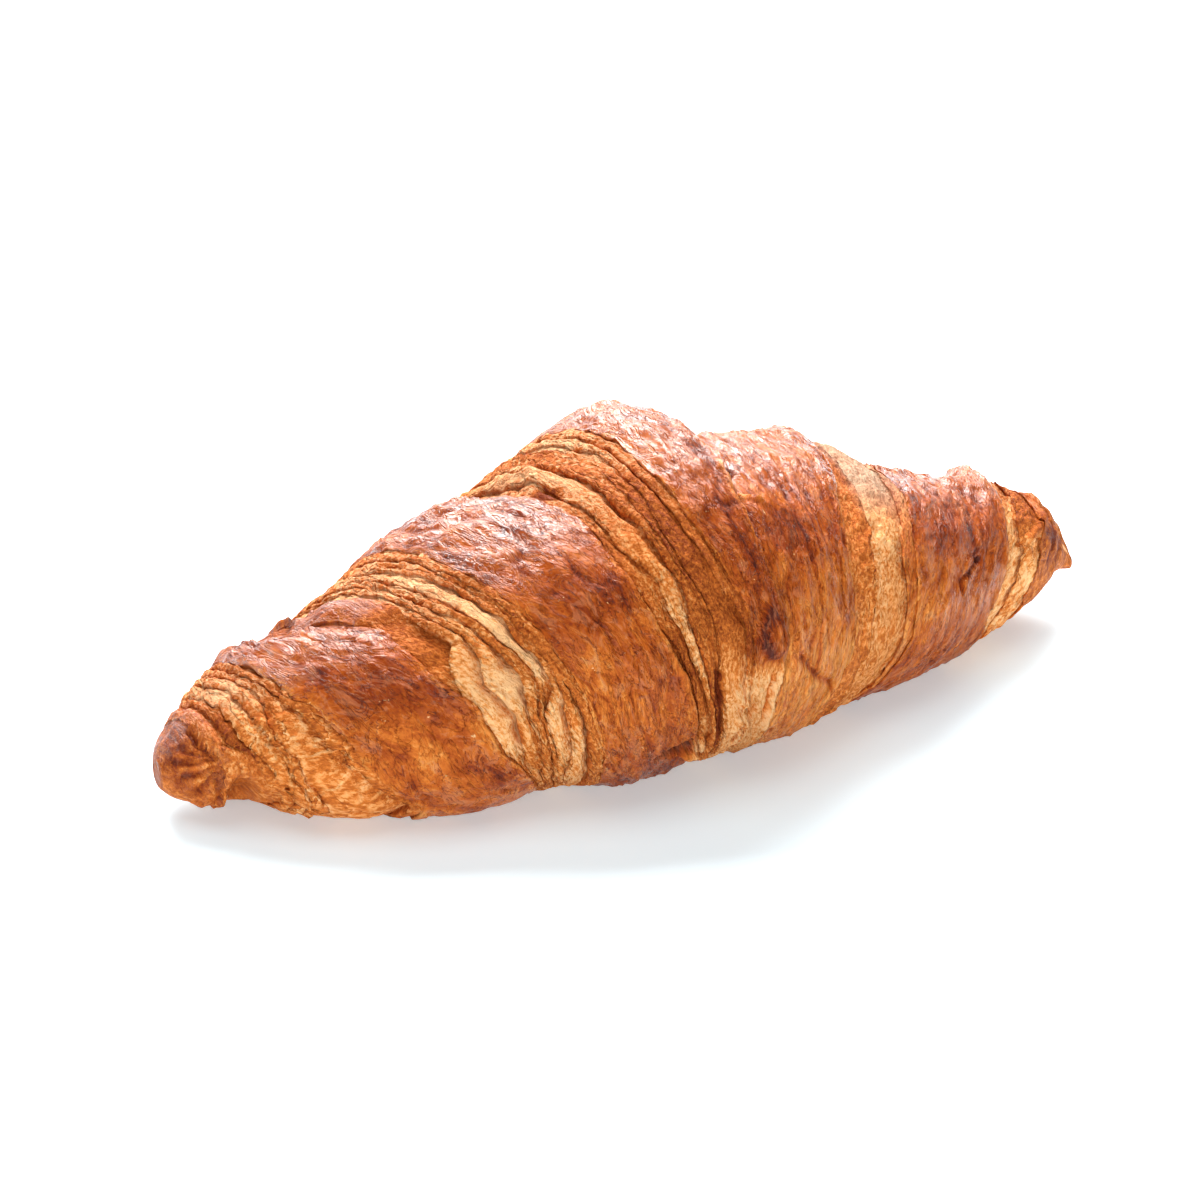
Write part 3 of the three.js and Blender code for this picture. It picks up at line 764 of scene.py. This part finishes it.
pucker = layered(roll / 1.4, 62, 2)
crumbs = layered(roll / 2.1, 66, 2)
skin_lift = 0.85 * on_crest * (foil_ridges - 0.35) + 0.15 * on_crest * (0.5 - foil) + 0.14 * pucker
skin_lift += (1 - 0.5 * on_crest) * 0.45 * (folds - 0.2) - 0.4 * creases + 0.25 * blisters + 0.5 * dents
cut_lift = 0.5 * (web - 0.25) + 0.25 * (stripes - 0.4) + 0.38 * grain + 0.25 * dents
cut_lift += 0.65 * (1 - narrow) * crumbs

# All relief dies away over the last millimetres, so that each tip closes on a point.
TIP_FADES = 5.0
LEFT_AT_TIP = 0.25
near_tip = smooth((LENGTH / 2 - np.abs(place)) / TIP_FADES)
lift += (glaze * skin_lift + (1 - glaze) * cut_lift + 0.5 * lumps) * near_tip
lift *= LEFT_AT_TIP + (1 - LEFT_AT_TIP) * near_tip

lines = turn_lines(row_angle)
x = along_roll(np.clip(place, -LENGTH / 2 + 0.02, LENGTH / 2 - 0.02), lines)
points = body(x, angle, lift)

# The tray: whatever the smooth body has below it is pressed flat, and toasted a little way up.
TOASTED_UP_TO = 0.8
sole = smooth((TOASTED_UP_TO - points[..., 2]) / TOASTED_UP_TO)
points[..., 2] = np.maximum(points[..., 2], 0)

rows, columns = place.shape
corner = np.arange(rows * columns).reshape(rows, columns)
next_row = np.roll(corner, -1, axis=0)
quads = np.stack(
    [corner[:, :-1], corner[:, 1:], next_row[:, 1:], next_row[:, :-1]], axis=-1
).reshape(-1, 4)
tips = np.stack([points[:, 0].mean(axis=0), points[:, -1].mean(axis=0)])
left_tip = rows * columns
right_tip = left_tip + 1
left_fan = np.stack([corner[:, 0], next_row[:, 0], np.full(rows, left_tip)], axis=-1)
right_fan = np.stack([next_row[:, -1], corner[:, -1], np.full(rows, right_tip)], axis=-1)

mesh = bpy.data.meshes.new("croissant_crust")
vertices = np.concatenate([points.reshape(-1, 3), tips]) * MM
faces = quads.tolist() + left_fan.tolist() + right_fan.tolist()
mesh.from_pydata(vertices.tolist(), [], faces)
mesh.shade_smooth()


def keep(name, values, tip_value):
    """Stores one number per vertex on the mesh, for the material to read."""
    attribute = mesh.attributes.new(name, "FLOAT", "POINT")
    flat = np.concatenate([values.reshape(-1), [tip_value, tip_value]])
    attribute.data.foreach_set("value", flat.astype(np.float32))


# The back is baked browner, its cut dough most. One strip of cut dough near the crest gets a painted sheen.
on_back = smooth((-50 - angle) / 30)
brown += on_back * (0.14 - 0.06 * glaze)
sheen_strip = smooth((8 - np.abs(place - 42)) / 3) * smooth((48 - np.abs(angle)) / 40)
keep("glaze", glaze, 0.6)
keep("brown", brown, 0.6)
keep("rim", np.clip(rim, 0, 1), 0.0)
keep("hollow", np.clip(hollow, 0, 2), 0.0)
keep("web", narrow * (1 - glaze), 0.0)
keep("crease", creases * glaze, 0.0)
keep("sole", sole, 0.0)
keep("plied", plied, 0.3)
keep("sheen_strip", sheen_strip * (1 - glaze), 0.0)
keep("crown", smooth((52 - np.abs(angle + 10)) / 42), 0.3)
roll_attribute = mesh.attributes.new("roll", "FLOAT_VECTOR", "POINT")
roll_flat = np.concatenate([roll.reshape(-1, 3), [[-LENGTH / 2, 0, 0], [LENGTH / 2, 0, 0]]])
roll_attribute.data.foreach_set("vector", roll_flat.astype(np.float32).reshape(-1))

croissant = bpy.data.objects.new("croissant_crust", mesh)
bpy.context.scene.collection.objects.link(croissant)

crust = bpy.data.materials.new("baked_crust")
crust.use_nodes = True
nodes = crust.node_tree.nodes
links = crust.node_tree.links
shader = nodes["Principled BSDF"]


def feed(target, source):
    """Sets an input: links it if the source is an output, and else gives it the plain value."""
    if isinstance(source, bpy.types.NodeSocket):
        links.new(source, target)
    else:
        target.default_value = source


def node(kind, inputs, **settings):
    """A new node of the crust's material, with its inputs fed and its own settings given by name."""
    made = nodes.new(kind)
    for name, value in settings.items():
        setattr(made, name, value)
    for name, source in inputs.items():
        feed(made.inputs[name], source)
    return made


def reading(name, output="Fac"):
    """The values that the mesh stores under this name."""
    return node("ShaderNodeAttribute", {}, attribute_name=name).outputs[output]


def maths(operation, a, b=0.0, clamp=False):
    """One step of arithmetic on two values."""
    return node("ShaderNodeMath", {0: a, 1: b}, operation=operation, use_clamp=clamp).outputs[0]


def total(*values):
    """The sum of several values."""
    result = values[0]
    for value in values[1:]:
        result = maths("ADD", result, value)
    return result


def times(*values):
    """The product of several values."""
    result = values[0]
    for value in values[1:]:
        result = maths("MULTIPLY", result, value)
    return result


def swing(value, share):
    """A noise from 0 to 1, centred on nothing and given its share."""
    return times(maths("SUBTRACT", value, 0.5), share)


def spread(value, low, high, to_low=0.0, to_high=1.0):
    """Stretches a value from one range to another along a smooth S, held at both ends."""
    ends = {"From Min": low, "From Max": high, "To Min": to_low, "To Max": to_high}
    made = node("ShaderNodeMapRange", {"Value": value, **ends}, interpolation_type="SMOOTHSTEP")
    return made.outputs["Result"]


def thread(value, width):
    """1 on the thin lines where a noise passes its middle, and 0 this far from them."""
    return spread(maths("ABSOLUTE", maths("SUBTRACT", value, 0.5)), 0.0, width, 1.0, 0.0)


def scaled(where, *shares):
    """A position, multiplied by these shares along, across and up."""
    return node("ShaderNodeMapping", {"Vector": where, "Scale": shares}).outputs["Vector"]


def speckle(scale, stretch, detail=4.0, roughness=0.6, distortion=0.0):
    """Noise from 0 to 1 on the roll's own coordinates, stretched along the layers."""
    where = scaled(reading("roll", "Vector"), 1.0, 1.0 / stretch, 1.0 / stretch)
    grain = {"Scale": scale, "Detail": detail, "Roughness": roughness, "Distortion": distortion}
    return node("ShaderNodeTexNoise", {"Vector": where, **grain}).outputs["Fac"]


def ramp(value, stops):
    """A colour for each value, from a few listed stops."""
    made = node("ShaderNodeValToRGB", {"Fac": value})
    bands = made.color_ramp.elements
    bands[0].position = stops[0][0]
    bands[0].color = (*stops[0][1], 1)
    bands[1].position = stops[-1][0]
    bands[1].color = (*stops[-1][1], 1)
    for position, colour in stops[1:-1]:
        band = bands.new(position)
        band.color = (*colour, 1)
    return made.outputs["Color"]


def blend(share, a, b):
    """Mixes two colours."""
    return node("ShaderNodeMix", {0: share, 6: a, 7: b}, data_type="RGBA").outputs[2]


def between(share, a, b):
    """Mixes two values."""
    return node("ShaderNodeMix", {0: share, 2: a, 3: b}, data_type="FLOAT").outputs[0]


# Every pattern below shifts the browning by its own share, and a ramp then turns browning into colour.
# Egg glaze: golden where thin, red-brown where it is baked hardest, and streaked along the dough.
cloud = speckle(0.14, 1.5, distortion=0.5)
streak = speckle(0.5, 4.5, roughness=0.65, distortion=0.7)
mottle = speckle(0.38, 1.6, detail=5.0, roughness=0.7, distortion=1.3)
fleck = speckle(1.05, 1.9, roughness=0.72, distortion=1.1)
grit = speckle(1.6, 1.25, detail=3.0, roughness=0.7)
crackle = thread(speckle(0.42, 2.6, distortion=1.6), 0.016)
crackle_share = spread(mottle, 0.52, 0.42, 0.12, 0.4)
wrinkle = thread(speckle(0.3, 2.2, roughness=0.55, distortion=1.8), 0.09)
thin = spread(fleck, 0.57, 0.63)
scorched = spread(speckle(0.8, 1.6, roughness=0.7, distortion=0.8), 0.40, 0.33)

# The edges of the finest layers: a saw's teeth along the roll, each an upper layer that ends over the
# one below, facing the nearer tip. They show along the rims, and come and go. Each tooth's foot, in
# the step under the next layer, is painted darker as shade, and its lip paler as a painted highlight.
TEETH_PER_MM = 0.72
TEETH_TURN_AT = 3.0  # the place along the roll where they change the way they face
parts = node("ShaderNodeSeparateXYZ", {0: reading("roll", "Vector")})
to_middle = maths("ABSOLUTE", maths("SUBTRACT", parts.outputs[0], TEETH_TURN_AT))
wavy = total(times(to_middle, -1.0), swing(cloud, 8.0), swing(streak, 3.2), swing(fleck, 0.5))
tooth = maths("FRACT", times(wavy, TEETH_PER_MM))
ply_seen = times(reading("plied"), spread(speckle(0.22, 2.5, detail=2.0), 0.4, 0.55))
# Painted shade at the foot of each tooth, and a painted highlight on its lip.
ply_foot_shade = times(spread(tooth, 0.78, 0.98), ply_seen)
ply_lip_highlight = times(spread(tooth, 0.0, 0.3, 1.0, 0.0), ply_seen)

baked = reading("brown")
glaze_shade = total(
    baked,
    swing(cloud, 0.55),
    swing(streak, 0.22),
    swing(mottle, 0.85),
    swing(fleck, 0.6),
    swing(grit, 0.35),
    # Creases in the glaze are painted darker, as the shade in them.
    times(reading("crease"), 0.3),
    times(crackle, crackle_share),
    times(thin, -0.17),
    times(scorched, 0.16),
    times(wrinkle, -0.13),
    times(ply_foot_shade, 0.3),
    times(ply_lip_highlight, -0.25),
    times(reading("rim"), -0.15),
)
glaze_colour = ramp(
    glaze_shade,
    [
        (0.0, (0.76, 0.29, 0.065)),
        (0.28, (0.56, 0.140, 0.018)),
        (0.52, (0.38, 0.072, 0.008)),
        (0.78, (0.22, 0.030, 0.004)),
        (1.0, (0.085, 0.014, 0.009)),
    ],
)
# Painted sheen: pinkish patches laid into the glaze's colour where it would reflect the front light.
PAINTED_PINK_SHEEN = (0.43, 0.16, 0.085, 1)
PALE_FLAKE = (0.86, 0.52, 0.24, 1)
glaze_colour = blend(spread(mottle, 0.47, 0.39, 0.0, 0.35), glaze_colour, PAINTED_PINK_SHEEN)
flakes = spread(speckle(0.75, 1.3, roughness=0.72), 0.685, 0.70, 0.0, 0.7)
glaze_colour = blend(flakes, glaze_colour, PALE_FLAKE)

# Cut dough: pale crumb, tan to toasted brown on the rims, speckled by its fine holes and grains, with
# a web of thin walls between its cells. On the crest, and most on one strip there, the crumb is painted
# paler and greyer, a painted sheen.
bends = {"Vector": reading("roll", "Vector"), "Scale": 0.35, "Detail": 3.0}
bend = node("ShaderNodeTexNoise", bends).outputs["Color"]
bent = node(
    "ShaderNodeVectorMath",
    {0: bend, 1: (3.0, 3.0, 3.0), 2: reading("roll", "Vector")},
    operation="MULTIPLY_ADD",
)
long_cells = {"Vector": scaled(bent.outputs[0], 1.0, 0.2, 0.2), "Scale": 0.75}
walls = node("ShaderNodeTexVoronoi", long_cells, feature="DISTANCE_TO_EDGE")
webbed = times(spread(walls.outputs["Distance"], 0.0, 0.16, 1.0, 0.0), reading("web"))
crumb_shade = total(
    baked,
    swing(streak, 0.24),
    swing(spread(grit, 0.36, 0.64), 0.26),
    swing(grit, 0.5),
    swing(cloud, 0.2),
    times(ply_foot_shade, 0.28),
    times(ply_lip_highlight, -0.2),
    times(reading("rim"), 0.1),
    times(webbed, -0.15),
)
crumb_colour = ramp(
    crumb_shade,
    [
        (0.0, (0.97, 0.54, 0.245)),
        (0.2, (0.87, 0.36, 0.112)),
        (0.42, (0.64, 0.168, 0.026)),
        (0.68, (0.40, 0.090, 0.014)),
        (1.0, (0.18, 0.026, 0.006)),
    ],
)
# Painted sheen: the crumb turns paler and greyer on the crest, and most on the one strip, where the light
# would shine on it.
PALE_SHEEN = (0.56, 0.42, 0.29, 1)
crest_sheen = times(reading("crown"), spread(crumb_shade, 0.3, 0.6, 0.35, 0.0))
strip_sheen = times(reading("sheen_strip"), spread(crumb_shade, 0.3, 1.0, 0.9, 0.2))
crumb_colour = blend(maths("MAXIMUM", crest_sheen, strip_sheen), crumb_colour, PALE_SHEEN)

# The glaze ends raggedly over the cut dough. Hollows are painted a redder, darker colour as the shade in
# them, and the underside is toasted dull by the tray.
HOLLOW_SHADE_COLOUR = (0.36, 0.085, 0.014, 1)
glazed_here = spread(total(reading("glaze"), swing(streak, 0.5), swing(fleck, 0.5)), 0.3, 0.7)
colour = blend(glazed_here, crumb_colour, glaze_colour)
# Painted shade: the deeper a hollow, the more its colour turns dark red-brown.
hollow_shade = maths("MULTIPLY", reading("hollow"), 0.3, clamp=True)
colour = blend(hollow_shade, colour, HOLLOW_SHADE_COLOUR)
sole_colour = ramp(
    cloud, [(0.3, (0.20, 0.07, 0.025)), (0.5, (0.34, 0.13, 0.045)), (0.7, (0.48, 0.22, 0.08))]
)
colour = blend(spread(reading("sole"), 0.2, 1.0), colour, sole_colour)
feed(shader.inputs["Base Color"], colour)

# Shine: the cut dough is matt. The glaze shines in patches under a clear coat, which is full on the
# crest and nearly gone lower down.
DOUGH_ROUGH = 0.75
polish = total(cloud, swing(mottle, 0.3))
glaze_rough = spread(polish, 0.46, 0.55, 0.5, 0.27)
feed(shader.inputs["Roughness"], between(glazed_here, DOUGH_ROUGH, glaze_rough))
worn = spread(mottle, 0.3, 0.7, 0.4, 1.0)
low_shine = spread(polish, 0.48, 0.55, 0.0, 0.1)
feed(
    shader.inputs["Coat Weight"],
    times(glazed_here, worn, spread(reading("crown"), 0.0, 1.0, low_shine, 1.0)),
)
shader.inputs["Coat Roughness"].default_value = 0.24
shader.inputs["Coat IOR"].default_value = 1.62
shader.inputs["IOR"].default_value = 1.45
shader.inputs["Specular IOR Level"].default_value = 0.24
shader.inputs["Specular Tint"].default_value = (1.0, 0.55, 0.34, 1)

# Fine relief: crinkles along the layers on the glaze, and grains and pores on the cut dough.
RELIEF_DEPTH = 0.0011  # metres
crinkle = speckle(0.55, 1.8, roughness=0.52, distortion=1.0)
ply_step = times(maths("SUBTRACT", 1.0, tooth), ply_seen, 0.32)
glaze_relief = total(
    swing(crinkle, 0.18),
    swing(grit, 0.06),
    times(wrinkle, 0.12),
    times(crackle, -0.12),
    times(thin, 0.05),
    ply_step,
)
crumb_relief = total(
    swing(grit, 0.7), swing(fleck, 0.4), swing(crinkle, 0.6), times(webbed, 0.3), ply_step
)
relief = between(glazed_here, crumb_relief, glaze_relief)
bump = node("ShaderNodeBump", {"Strength": 1.0, "Distance": RELIEF_DEPTH, "Height": relief})
feed(shader.inputs["Normal"], bump.outputs["Normal"])
feed(shader.inputs["Coat Normal"], bump.outputs["Normal"])

mesh.materials.append(crust)
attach(croissant, "root")
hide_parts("croissant")

# ==== The table, the light and the camera =========================================================
# A flat white table top and a plain white room. A strong soft light stands behind the croissant and a
# weak low one beside it, for the shine along the crest; two more light it from the top and the front.

TABLE_REACH = 6.0  # metres each way
floor_mesh = bpy.data.meshes.new("table_top")
table_corners = [(-1, -1), (1, -1), (1, 1), (-1, 1)]
floor_mesh.from_pydata([(x * TABLE_REACH, y * TABLE_REACH, 0) for x, y in table_corners], [], [(0, 1, 2, 3)])
floor = bpy.data.objects.new("table_top", floor_mesh)
bpy.context.scene.collection.objects.link(floor)
white = bpy.data.materials.new("white_table")
white.use_nodes = True
white_shader = white.node_tree.nodes["Principled BSDF"]
white_shader.inputs["Base Color"].default_value = (0.70, 0.84, 0.90, 1)
white_shader.inputs["Roughness"].default_value = 0.9
white_shader.inputs["Emission Color"].default_value = (1, 1, 1, 1)
white_shader.inputs["Emission Strength"].default_value = 0.3
floor_mesh.materials.append(white)

world = bpy.data.worlds.new("white_room")
world.use_nodes = True
world.node_tree.nodes["Background"].inputs["Color"].default_value = (1, 1, 1, 1)
world.node_tree.nodes["Background"].inputs["Strength"].default_value = 0.16
bpy.context.scene.world = world


def seen_from(azimuth, elevation):
    """The direction at this compass angle and height angle: the front is at 0, the sine and cosine of
    the first give the ground direction, and those of the second the rise."""
    return np.array(
        [
            math.sin(azimuth) * math.cos(elevation),
            -math.cos(azimuth) * math.cos(elevation),
            math.sin(elevation),
        ]
    )


def softbox(name, azimuth, elevation, distance, size, watts):
    """A square area light aimed at the croissant, from a compass angle and a height angle."""
    light = bpy.data.lights.new(name, "AREA")
    light.shape = "SQUARE"
    light.size = size
    light.energy = watts
    lamp = bpy.data.objects.new(name, light)
    a, e = math.radians(azimuth), math.radians(elevation)
    lamp.location = distance * seen_from(a, e)
    lamp.rotation_euler = (math.pi / 2 - e, 0, a)
    bpy.context.scene.collection.objects.link(lamp)


softbox("back_light", azimuth=157, elevation=50, distance=1.3, size=0.95, watts=47)
softbox("low_back_light", azimuth=166, elevation=22, distance=1.3, size=0.7, watts=8)
softbox("top_light", azimuth=-30, elevation=78, distance=1.3, size=0.9, watts=6)
softbox("front_light", azimuth=-28, elevation=14, distance=1.5, size=1.2, watts=17)

target = np.array([-9.4, 2.4 + FOOTPRINT_SHIFT, 23.9]) * MM
azimuth = math.radians(-31)
elevation = math.radians(28)
distance = 486 * MM
lens = bpy.data.cameras.new("camera")
lens.lens = 85
lens.sensor_width = 36
lens.clip_start = 0.01
camera = bpy.data.objects.new("camera", lens)
camera.location = target + distance * seen_from(azimuth, elevation)
camera.rotation_euler = (math.pi / 2 - elevation, 0, azimuth)
bpy.context.scene.collection.objects.link(camera)
bpy.context.scene.camera = camera
bpy.context.scene.view_settings.view_transform = "Standard"
